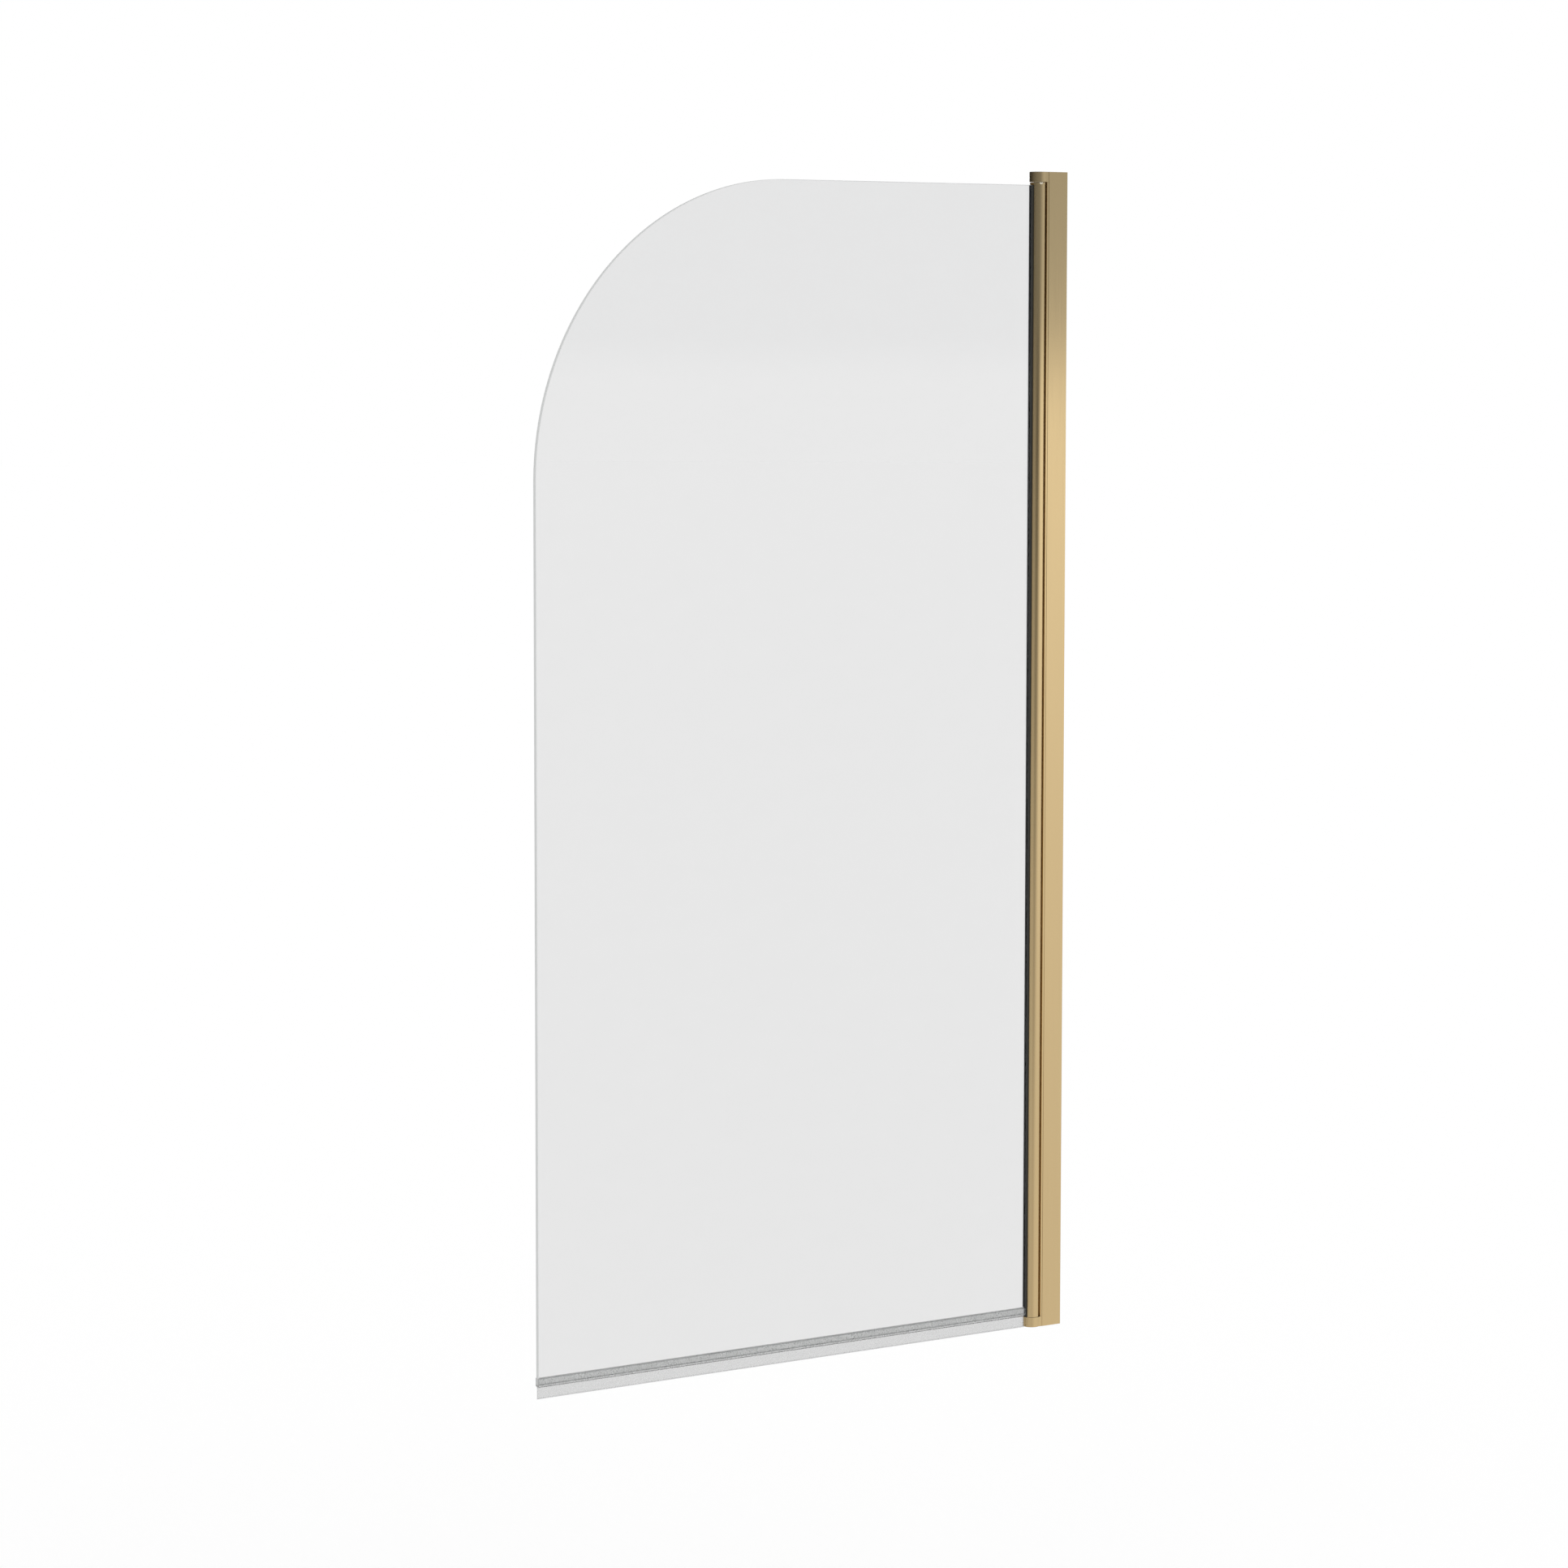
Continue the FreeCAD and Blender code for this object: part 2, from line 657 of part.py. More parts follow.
def pivot_tube():
    """Round tube with a slot and an inner pocket that hold the glass and its gaskets."""
    body = new_body("pivot_tube")
    pad(body, circles(body, [("0", "0")], "tube_radius"), "tube_length")
    pocket(body, circles(body, [("0", "0")], "tube_bore"), "tube_length", True)
    walls = rectangle("-pocket_root", "-hollow_flat", "-pocket_outside", "pocket_outside")
    pad(body, outline(body, walls), "tube_length")
    slot = rectangle("-tube_diameter", "-pocket_end", "-pocket_half", "pocket_half")
    pocket(body, outline(body, slot), "tube_length", True)
    notch = {"Radius": "key_radius + bush_gap", "Height": "tube_diameter"}
    for end, bearing in (("0", "lower_key_angle"), ("tube_length", "key_angle")):
        radial_cylinder(body, "Subtractive", amount(bearing), notch, z=end)
    put(body, x="pivot_x", z="tube_bottom")
    piece(body)


def tube_bush(name, flipped):
    """Nylon plug in the tube's hollow, bored for the pin, with a half-round key at its end."""
    body = new_body(name)
    pad(body, circles(body, [("0", "0")], "tube_bore - bush_gap"), "bush_length")
    flat = rectangle("-tube_diameter", "-(hollow_flat - bush_gap)", "-tube_diameter", "tube_diameter")
    pocket(body, outline(body, flat), "bush_length", True)
    bearing = -amount("key_angle") if flipped else amount("lower_key_angle")
    key = {"Radius": "key_radius", "Height": "tube_radius - key_inset"}
    radial_cylinder(body, "Additive", bearing, key, sweep=180)
    pocket(body, circles(body, [("0", "0")], "pin_radius + running_gap"), "bush_length", True)
    if flipped:
        put(body, x="pivot_x", z="tube_top", turn=UPSIDE_DOWN)
    else:
        put(body, x="pivot_x", z="tube_bottom")
    piece(body)


def glass_panel():
    """Flat pane with one large round corner, at the top of its free edge."""
    body = new_body("glass_panel")
    corners = (
        ("-screen_reach", "glass_bottom"),
        ("glass_inner", "glass_bottom"),
        ("glass_inner", "glass_top"),
        ("-screen_reach + glass_corner", "glass_top"),
        ("-screen_reach", "glass_top - glass_corner"),
    )
    pane = outline(body, corners, {3: "glass_corner"}, "XZ_Plane")
    pad(body, pane, "glass_thickness", "Symmetric")
    face = amount("glass_thickness/2")
    on_face = edges_where(body, lambda edge: abs(abs(edge.CenterOfMass.y) - face) < 1e-4)
    trim_edges(body, "Chamfer", on_face, "glass_arris")
    piece(body)


def gasket(name, side):
    """Black strip wedged between the glass and the pocket, with a rounded lip outside the tube.

    Below the clip's top the lip stops short of the clip.
    """
    body = new_body(name)
    surface = f"{side}glass_thickness/2"
    neck = f"{surface} {side} gasket_neck"
    lip = f"{surface} {side} gasket_lip"
    grip = f"{surface} {side} gasket_grip"
    corners = (
        ("-gasket_reach", surface),
        ("-glass_setback", surface),
        ("-glass_setback", grip),
        ("-(tube_mouth - gasket_neck)", grip),
        ("-tube_mouth", neck),
        ("-neck_start", neck),
        ("-(neck_start + gasket_lip - gasket_neck)", lip),
        ("-gasket_reach + gasket_round", lip),
        ("-gasket_reach", f"{lip} - ({side}gasket_round)"),
    )
    turn = "gasket_round" if side == "-" else "-gasket_round"
    pad(body, outline(body, corners, {7: turn}, rise="tube_bottom"), "glass_top - tube_bottom")
    outside = rectangle("-tube_diameter", "-(clip_setback - mouth_gap)", "-tube_radius", "tube_radius")
    pocket(body, outline(body, outside), "clip_top + mouth_gap", True)
    put(body, x="pivot_x")
    piece(body)


def box(name, place, sizes):
    """Plain block from its lowest corner and its sizes."""
    solid = DOC.addObject("Part::Box", name)
    bind(solid, **dict(zip(("Length", "Width", "Height"), sizes)))
    return put(solid, *place)


def glass_packers():
    """Packers behind the glass's inner edge and a setting block under its lower corner."""
    packers = []
    for z in ("fixing_end", "(screen_height - packer_length)/2", "screen_height - fixing_end"):
        place = ("glass_inner", "-glass_thickness/2", z)
        sizes = ("packer_thickness", "glass_thickness", "packer_length")
        packers.append(box("glass_edge_packer", place, sizes))
    group("glass_edge_packers", packers)
    place = ("pivot_x - tube_mouth + gasket_neck", "-glass_thickness/2", "tube_bottom")
    sizes = ("tube_mouth - gasket_neck - pocket_end", "glass_thickness", "setting_height")
    piece(box("glass_setting_block", place, sizes), "glass_setting_block")


def seal_clip():
    """U channel that grips the glass's lower edge."""
    body = new_body("seal_clip")
    face = "glass_thickness/2"
    corners = (
        ("-clip_half", "clip_top"),
        ("-clip_half", "fin_height + clip_round"),
        ("-clip_half + clip_round", "fin_height"),
        ("clip_half - clip_round", "fin_height"),
        ("clip_half", "fin_height + clip_round"),
        ("clip_half", "clip_top"),
        (face, "clip_top"),
        (face, "glass_bottom"),
        (f"-{face}", "glass_bottom"),
        (f"-{face}", "clip_top"),
    )
    rounds = {1: "clip_round", 3: "clip_round"}
    section = outline(body, corners, rounds, "YZ_Plane", "-screen_reach")
    pad(body, section, "screen_reach + pivot_x - clip_setback")
    piece(body)


def seal_fin():
    """Soft blade that hangs from the clip and wipes the bath's rim, with a bead along its edge."""
    body = new_body("seal_fin")
    corners = (
        ("-fin_root", "fin_height"),
        ("-fin_half", "fin_height - fin_root"),
        ("-fin_half", "bead_height"),
        ("-bead_half", "bead_height/2"),
        ("-bead_half", "0"),
        ("bead_half", "0"),
        ("bead_half", "bead_height/2"),
        ("fin_half", "bead_height"),
        ("fin_half", "fin_height - fin_root"),
        ("fin_root", "fin_height"),
    )
    section = outline(body, corners, plane="YZ_Plane", rise="-screen_reach")
    pad(body, section, "screen_reach + pivot_x - fin_setback")
    piece(body)


def check_document():
    """Stop on a failed object, a missing shape or an invalid one."""
    DOC.recompute()
    for thing in DOC.Objects:
        if {"Invalid", "Error"} & set(thing.State):
            raise ValueError(f"{thing.Name} failed: {thing.State}")
    for thing in PIECES:
        if thing.Shape.isNull() or not thing.Shape.isValid():
            raise ValueError(f"{thing.Label} has no valid shape")


def write_pieces():
    """One STEP file for each sub-part, named by its label."""
    os.makedirs("parts", exist_ok=True)
    for thing in PIECES:
        thing.Shape.exportStep(f"parts/{thing.Label}.step")
        print(f"{thing.Label}: {len(thing.Shape.Solids)} solid(s), {thing.Shape.Volume:.1f} mm3")


fill_sheet()

wall_channel()
channel_cap("channel_top_cap", True)
channel_cap("channel_bottom_cap", False)
clamp_set()

hinge_post()
pivot_block("top_pivot_block", True)
pivot_block("bottom_pivot_block", False)
pivot_pin("top_pivot_pin", True)
pivot_pin("bottom_pivot_pin", False)
thrust_washer("top_thrust_washer", True)
thrust_washer("bottom_thrust_washer", False)
block_screws()
pin_grub_screws()

pivot_tube()
tube_bush("top_tube_bush", True)
tube_bush("bottom_tube_bush", False)
glass_panel()
gasket("front_gasket", "-")
gasket("back_gasket", "+")
glass_packers()
seal_clip()
seal_fin()

check_document()
write_pieces()
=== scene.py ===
"""Looks of the pivoting bath screen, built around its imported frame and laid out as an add-on.

Lengths are in metres, in the frame's own axes: the wall face is at X = 0, the glass runs
towards -X, Z is up and -Y is the bather's side.
"""
import math

import bmesh
import bpy
import numpy as np
from bpy.props import FloatProperty, FloatVectorProperty, PointerProperty
from mathutils import Euler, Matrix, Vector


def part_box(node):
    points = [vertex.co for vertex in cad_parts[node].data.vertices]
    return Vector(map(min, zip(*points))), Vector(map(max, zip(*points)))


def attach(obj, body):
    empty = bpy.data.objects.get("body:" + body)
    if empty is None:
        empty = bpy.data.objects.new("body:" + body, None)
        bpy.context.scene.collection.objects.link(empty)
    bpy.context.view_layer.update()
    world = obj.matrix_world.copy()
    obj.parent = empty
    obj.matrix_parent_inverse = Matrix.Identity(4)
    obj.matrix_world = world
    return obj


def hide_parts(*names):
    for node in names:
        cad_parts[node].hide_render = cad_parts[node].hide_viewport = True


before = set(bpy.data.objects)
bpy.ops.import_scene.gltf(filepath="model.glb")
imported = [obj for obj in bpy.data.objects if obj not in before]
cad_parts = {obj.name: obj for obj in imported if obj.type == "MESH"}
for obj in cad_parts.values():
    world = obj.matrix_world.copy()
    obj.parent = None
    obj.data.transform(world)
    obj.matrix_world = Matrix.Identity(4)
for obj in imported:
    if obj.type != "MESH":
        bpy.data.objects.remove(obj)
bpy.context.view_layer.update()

bl_info = {
    "name": "Bath screen",
    "version": (1, 0, 0),
    "blender": (4, 5, 0),
    "location": "View3D > Sidebar > Bath screen",
    "description": "Finishes a pivoting glass bath screen around its packed frame",
    "category": "Object",
}

MM = 0.001
WALL_SIDE, POST, LEAF = "wall_side", "post", "leaf"
BRASS_SECTIONS = {
    "wall_channel": WALL_SIDE,
    "channel_top_cap": WALL_SIDE,
    "channel_bottom_cap": WALL_SIDE,
    "hinge_post": POST,
    "top_pivot_block": POST,
    "bottom_pivot_block": POST,
    "pivot_tube": LEAF,
}
BRASS_FITTINGS = ("clamp_cup_washers", "clamp_screw_caps")
STEEL_NODES = (
    "clamp_screws",
    "clamp_nuts",
    "top_pivot_pin",
    "bottom_pivot_pin",
    "block_screws",
    "pin_grub_screws",
)
NYLON_NODES = ("top_thrust_washer", "bottom_thrust_washer", "top_tube_bush", "bottom_tube_bush")
PACKER_NODES = ("glass_edge_packers", "glass_setting_block")
GASKET_NODES = ("front_gasket", "back_gasket")


# Settings a user would change


class ScreenSizes(bpy.types.PropertyGroup):
    """Small sizes that finish the pieces."""

    edge_round: FloatProperty(
        name="Edge rounding",
        description="Rounding of the brass sections' edges",
        default=0.25 * MM,
        unit="LENGTH",
    )
    glass_corner: FloatProperty(
        name="Glass corner",
        description="Radius of the glass's large top corner",
        default=344 * MM,
        unit="LENGTH",
    )
    glass_arris: FloatProperty(
        name="Glass arris",
        description="Width of the ground arris along the glass's edges",
        default=0.5 * MM,
        unit="LENGTH",
    )
    glass_nip: FloatProperty(
        name="Glass nipped corner",
        description="Radius of the glass's three small corners",
        default=0.8 * MM,
        unit="LENGTH",
    )
    seal_air: FloatProperty(
        name="Seal clearance",
        description="Air between the glass and the plastic that grips it",
        default=0.04 * MM,
        unit="LENGTH",
    )
    clip_wall: FloatProperty(
        name="Clip wall",
        description="Thickness of the bottom seal's clip",
        default=0.8 * MM,
        unit="LENGTH",
    )


class ScreenFinishes(bpy.types.PropertyGroup):
    """Colours of the finishes."""

    brass: FloatVectorProperty(
        name="Brushed brass",
        description="Colour of the anodised sections",
        subtype="COLOR",
        default=(0.745, 0.558, 0.296),
    )
    steel: FloatVectorProperty(
        name="Stainless steel",
        description="Colour of the screws and pins",
        subtype="COLOR",
        default=(0.62, 0.62, 0.63),
    )
    nylon: FloatVectorProperty(
        name="Nylon",
        description="Colour of the bushes and washers",
        subtype="COLOR",
        default=(0.72, 0.66, 0.52),
    )
    glass: FloatVectorProperty(
        name="Glass",
        description="Tint of the safety glass",
        subtype="COLOR",
        default=(0.80, 0.80, 0.80),
    )
    edge: FloatVectorProperty(
        name="Glass edge",
        description="Colour of the glass's ground edges",
        subtype="COLOR",
        default=(0.74, 0.75, 0.745),
    )
    rubber: FloatVectorProperty(
        name="Rubber",
        description="Colour of the gaskets and packers",
        subtype="COLOR",
        default=(0.022, 0.022, 0.018),
    )
    clip: FloatVectorProperty(
        name="Seal clip",
        description="Tint of the bottom seal's clip",
        subtype="COLOR",
        default=(0.88, 0.89, 0.885),
    )
    fin: FloatVectorProperty(
        name="Seal fin",
        description="Tint of the bottom seal's soft fin",
        subtype="COLOR",
        default=(0.70, 0.70, 0.70),
    )
    clip_end: FloatVectorProperty(
        name="Seal clip's ends",
        description="Colour of the clip where it was sawn to length",
        subtype="COLOR",
        default=(0.34, 0.34, 0.34),
    )
    fin_end: FloatVectorProperty(
        name="Seal fin's ends",
        description="Colour of the fin where it was sawn to length",
        subtype="COLOR",
        default=(0.5, 0.5, 0.5),
    )


class StudioLight(bpy.types.PropertyGroup):
    """Levels of the studio, as shares of white."""

    lamp_level: FloatProperty(
        name="Room light",
        description="Light that reaches matt surfaces from all round",
        default=1.0,
    )
    sky_low: FloatProperty(
        name="Upper room",
        description="What polished surfaces mirror above the horizon, behind the screen",
        default=0.02,
    )
    sky_front: FloatProperty(
        name="Upper room, bather's side",
        description="How much lighter the upper room is in front of the screen",
        default=0.125,
    )
    sky_wall: FloatProperty(
        name="Upper room, wall side",
        description="How much lighter the upper room is towards the wall",
        default=0.43,
    )
    floor_near: FloatProperty(
        name="Near floor",
        description="What polished surfaces mirror well below the horizon, behind the screen",
        default=0.46,
    )
    floor_front: FloatProperty(
        name="Near floor, bather's side",
        description="How much lighter the near floor is in front of the screen",
        default=0.33,
    )
    floor_low: FloatProperty(
        name="Distant floor, far side",
        description="What polished surfaces mirror just below the horizon, away from the wall",
        default=0.26,
    )
    floor_high: FloatProperty(
        name="Distant floor, wall side",
        description="What polished surfaces mirror just below the horizon, towards the wall",
        default=1.17,
    )
    floor_dusk: FloatProperty(
        name="Floor before the screen",
        description="How much darker the distant floor is where the screen is seen from",
        default=0.5,
    )
    floor_drop: FloatProperty(
        name="Floor below the screen",
        description="How far the floor lies below the bath's rim",
        default=0.55,
        unit="LENGTH",
    )


def sizes():
    """The scene's small sizes."""
    return bpy.context.scene.screen_sizes


def finishes():
    """The scene's colours."""
    return bpy.context.scene.screen_finishes


def studio():
    """The scene's light levels."""
    return bpy.context.scene.studio_light


# Node trees


class Value:
    """A shader socket under Python's operators: each operator adds its Math node."""

    def __init__(self, tree, socket):
        self.tree = tree
        self.socket = socket

    def maths(self, operation, *values):
        """Math node on the values, in order."""
        return self.tree.add("Math", {"operation": operation}, dict(enumerate(values)))

    def __add__(self, other):
        return self.maths("ADD", self, other)

    def __sub__(self, other):
        return self.maths("SUBTRACT", self, other)

    def __rsub__(self, other):
        return self.maths("SUBTRACT", other, self)

    def __mul__(self, other):
        return self.maths("MULTIPLY", self, other)

    __radd__ = __add__
    __rmul__ = __mul__


class Tree:
    """The node tree of a material or a world."""

    def __init__(self, owner):
        owner.use_nodes = True
        self.tree = owner.node_tree
        self.tree.nodes.clear()

    def add(self, kind, settings=None, values=None, output=0):
        """Adds a node: its settings first, then its sockets' values or links.  Gives one output."""
        node = self.tree.nodes.new("ShaderNode" + kind)
        for name, setting in (settings or {}).items():
            setattr(node, name, setting)
        for name, value in (values or {}).items():
            if isinstance(value, Value):
                self.tree.links.new(value.socket, node.inputs[name])
            else:
                node.inputs[name].default_value = value
        return Value(self, node.outputs[output])

    def ramp(self, factor, low, high, out_low=0.0, out_high=1.0):
        """Smooth step from out_low to out_high as factor goes from low to high."""
        values = {0: factor, 1: low, 2: high, 3: out_low, 4: out_high}
        return self.add("MapRange", {"interpolation_type": "SMOOTHSTEP"}, values)

    def mix(self, factor, first, second):
        """Colour between two colours."""
        first, second = (c if isinstance(c, Value) else (*c, 1) for c in (first, second))
        return self.add("Mix", {"data_type": "RGBA"}, {0: factor, 6: first, 7: second}, output=2)

    def axis(self, name):
        """One of the Object coordinates."""
        place = self.add("TexCoord", output="Object")
        return self.add("SeparateXYZ", None, {0: place}, output=name)

    def noise(self, scale, detail=3.0):
        """Noise between 0 and 1 on Object coordinates, scaled along each axis."""
        place = self.add("TexCoord", output="Object")
        place = self.add("VectorMath", {"operation": "MULTIPLY"}, {0: place, 1: scale})
        return self.add("TexNoise", None, {"Vector": place, "Scale": 1.0, "Detail": detail})

    def bump(self, height, distance):
        """Normal of a surface raised by height times distance."""
        return self.add("Bump", None, {"Height": height, "Distance": distance, "Strength": 1.0})

    def surface(self, shader):
        """Makes the shader the material's or world's surface."""
        kind = "OutputWorld" if isinstance(self.tree.id_data, bpy.types.World) else "OutputMaterial"
        output = self.tree.nodes.new("ShaderNode" + kind)
        self.tree.links.new(shader.socket, output.inputs["Surface"])


def principled(tree, **values):
    """Principled shader on the tree's surface.  Names are the sockets' own, with _ for a space."""
    named = {name.replace("_", " "): value for name, value in values.items()}
    tree.surface(tree.add("BsdfPrincipled", None, named))


def shade(colour, factor):
    """The colour, lighter or darker."""
    return tuple(channel * factor for channel in colour)


# Materials


def brushed_brass():
    """Anodised metal brushed along its length: fine upright streaks in colour, gloss and relief."""
    material = bpy.data.materials.new("brushed_brass")
    tree = Tree(material)
    fine = tree.noise((2600, 2600, 14), detail=2)
    broad = tree.noise((420, 420, 3), detail=2)
    streaks = 0.6 * fine + 0.4 * broad
    colour = tuple(finishes().brass)
    principled(
        tree,
        Base_Color=tree.mix(streaks, shade(colour, 0.94), shade(colour, 1.06)),
        Metallic=1.0,
        Roughness=tree.ramp(streaks, 0.3, 0.7, 0.14, 0.20),
        Anisotropic=1.0,
        Normal=tree.bump(streaks, 0.004 * MM),
    )
    return material


def stainless_steel():
    """Turned steel: a fine even grain in gloss and relief."""
    material = bpy.data.materials.new("stainless_steel")
    tree = Tree(material)
    grain = tree.noise((3000, 3000, 3000))
    principled(
        tree,
        Base_Color=(*finishes().steel, 1),
        Metallic=1.0,
        Roughness=tree.ramp(grain, 0.3, 0.7, 0.24, 0.38),
        Normal=tree.bump(grain, 0.01 * MM),
    )
    return material


def nylon():
    """Moulded nylon: waxy, with a faint mottle."""
    material = bpy.data.materials.new("nylon")
    tree = Tree(material)
    mottle = tree.noise((900, 900, 900))
    colour = tuple(finishes().nylon)
    principled(
        tree,
        Base_Color=tree.mix(mottle, shade(colour, 0.95), shade(colour, 1.03)),
        Roughness=tree.ramp(mottle, 0.3, 0.7, 0.38, 0.5),
        Normal=tree.bump(mottle, 0.02 * MM),
    )
    return material


def safety_glass():
    """Clear toughened glass: faint roller waves in relief, and a wiped film in tint and gloss."""
    material = bpy.data.materials.new("safety_glass")
    tree = Tree(material)
    waves = tree.noise((2, 2, 9), detail=1)
    film = tree.noise((14, 14, 40), detail=5)
    colour = tuple(finishes().glass)
    principled(
        tree,
        Base_Color=tree.mix(film, shade(colour, 0.992), shade(colour, 1.008)),
        Roughness=tree.ramp(film, 0.4, 0.8, 0.0, 0.02),
        IOR=1.5,
        Transmission_Weight=1.0,
        Normal=tree.bump(waves, 0.05 * MM),
    )
    return material


def ground_edge():
    """Ground edges of the glass: a pale even frost, darker where the clip shuts out light."""
    material = bpy.data.materials.new("ground_edge")
    tree = Tree(material)
    frost = tree.noise((2500, 2500, 2500))
    colour = tuple(finishes().edge)
    pale = tree.mix(frost, shade(colour, 0.93), shade(colour, 1.05))
    free_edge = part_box("glass_panel")[0].x
    clip_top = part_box("seal_clip")[1].z
    low = tree.ramp(tree.axis("Z"), clip_top - 0.6 * MM, clip_top, 1.0, 0.0)
    shut = low * tree.ramp(tree.axis("X"), free_edge + 1 * MM, free_edge + 2 * MM, 1.0, 0.0)
    principled(
        tree,
        Base_Color=tree.mix(shut, pale, shade(colour, 0.8)),
        Roughness=tree.ramp(frost, 0.3, 0.7, 0.4, 0.55),
        IOR=1.5,
        Transmission_Weight=0.15,
        Normal=tree.bump(frost, 0.01 * MM),
    )
    return material


def black_rubber():
    """Extruded rubber: satin black with faint draw lines along its length."""
    material = bpy.data.materials.new("black_rubber")
    tree = Tree(material)
    lines = tree.noise((2200, 2200, 25))
    grain = tree.noise((5000, 5000, 5000))
    colour = tuple(finishes().rubber)
    principled(
        tree,
        Base_Color=tree.mix(lines, shade(colour, 0.8), shade(colour, 1.3)),
        Roughness=tree.ramp(grain, 0.3, 0.7, 0.3, 0.42),
        Normal=tree.bump(lines + 0.5 * grain, 0.02 * MM),
    )
    return material


def seal_plastic(name, colour, rough, mottle_depth, band, band_shade):
    """Translucent plastic, mottled from its drawing.

    The band is two heights between which it turns darker, by band_shade: painted shade, a dark line
    along the clip's top edge and along the fin's bead.
    """
    material = bpy.data.materials.new(name)
    tree = Tree(material)
    mottle = tree.ramp(tree.noise((800, 800, 800), detail=2), 0.3, 0.7)
    tint = tree.mix(mottle, shade(colour, 1 - mottle_depth), shade(colour, 1 + mottle_depth))
    # painted shade: darker past the band's heights
    painted_shade = tree.ramp(tree.axis("Z"), *band)
    principled(
        tree,
        Base_Color=tree.mix(painted_shade, tint, shade(colour, band_shade)),
        Roughness=tree.ramp(mottle, 0.0, 1.0, rough, rough * 1.6),
        IOR=1.5,
        Transmission_Weight=1.0,
        Normal=tree.bump(mottle, 0.03 * MM),
    )
    return material


def cut_plastic(name, colour):
    """End of a plastic strip where it was sawn: an even frost with fine saw marks."""
    material = bpy.data.materials.new(name)
    tree = Tree(material)
    marks = tree.noise((900, 900, 4000))
    principled(
        tree,
        Base_Color=tree.mix(marks, shade(colour, 0.92), shade(colour, 1.06)),
        Roughness=tree.ramp(marks, 0.3, 0.7, 0.45, 0.6),
        Normal=tree.bump(marks, 0.02 * MM),
    )
    return material


# Shapes


def rounded(corners, radii, steps=5):
    """Closed outline through the corners, in order, each replaced by an arc of its radius.

    An arc touches its two sides at radius / tan(half the corner's angle) from the corner.  Its
    centre lies on the angle's bisector, and its points are evenly spaced between the side normals.
    """
    corners = np.asarray(corners, float)
    radii = np.broadcast_to(np.asarray(radii, float), len(corners))[:, None]
    back = np.roll(corners, 1, 0) - corners
    ahead = np.roll(corners, -1, 0) - corners
    back /= np.linalg.norm(back, axis=1, keepdims=True)
    ahead /= np.linalg.norm(ahead, axis=1, keepdims=True)
    middle = back + ahead
    middle /= np.linalg.norm(middle, axis=1, keepdims=True)
    half = np.arccos(np.clip((back * ahead).sum(1, keepdims=True), -1, 1)) / 2
    centres = corners + middle * radii / np.sin(half)
    starts = corners + back * radii / np.tan(half) - centres
    ends = corners + ahead * radii / np.tan(half) - centres
    share = np.linspace(0, 1, steps + 1)[None, :, None]
    turn = (np.pi - 2 * half)[:, :, None]
    rest = np.maximum(np.sin(turn), 1e-9)
    from_start = starts[:, None] * np.sin((1 - share) * turn)
    to_end = ends[:, None] * np.sin(share * turn)
    return (centres[:, None] + (from_start + to_end) / rest).reshape(-1, 2)


def grid_faces(rows, columns):
    """Quads of a grid of points that closes on itself along its columns."""
    row, column = np.meshgrid(np.arange(rows - 1), np.arange(columns), indexing="ij")
    after = (column + 1) % columns
    near = row * columns
    far = near + columns
    return np.stack([near + column, near + after, far + after, far + column], -1).reshape(-1, 4)


def mesh_object(name, points, faces, caps, sharp_angle=30):
    """Object of the points, the quads and the end caps, each a ring of point numbers."""
    mesh = bpy.data.meshes.new(name)
    polygons = [*faces.tolist(), *[list(map(int, cap)) for cap in caps]]
    mesh.from_pydata(points.tolist(), [], polygons)
    mesh.validate()
    mesh.polygons.foreach_set("use_smooth", np.ones(len(mesh.polygons), bool))
    mesh.set_sharp_from_angle(angle=math.radians(sharp_angle))
    made = bpy.data.objects.new(name, mesh)
    bpy.context.scene.collection.objects.link(made)
    return made


def carried(name, profile, stations, along, across, up):
    """Solid of a profile carried straight along an axis.

    A point is stations[i]*along + profile[j][0]*across + profile[j][1]*up.  The profile runs
    anticlockwise about along, so that the sides face outwards, and its two ends are capped.
    """
    along, across, up = (np.asarray(axis, float) for axis in (along, across, up))
    stations = np.asarray(stations, float)
    section = profile[:, :1] * across + profile[:, 1:] * up
    points = (stations[:, None, None] * along + section[None]).reshape(-1, 3)
    count = len(profile)
    faces = grid_faces(len(stations), count)
    first = np.arange(count)[::-1]
    last = np.arange(count) + (len(stations) - 1) * count
    return mesh_object(name, points, faces, (first, last))


def cut_ends(piece):
    """Gives the two end caps of a carried piece its second material."""
    count = len(piece.data.polygons)
    index = np.zeros(count, np.int32)
    index[-2:] = 1
    piece.data.polygons.foreach_set("material_index", index)


def finish_piece(piece, body, node, slot, *materials):
    """Gives the piece its materials and body, and lets it stand for a frame node.  The slot is not
    used.
    """
    for material in materials:
        piece.data.materials.append(material)
    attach(piece, body)
    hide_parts(node)


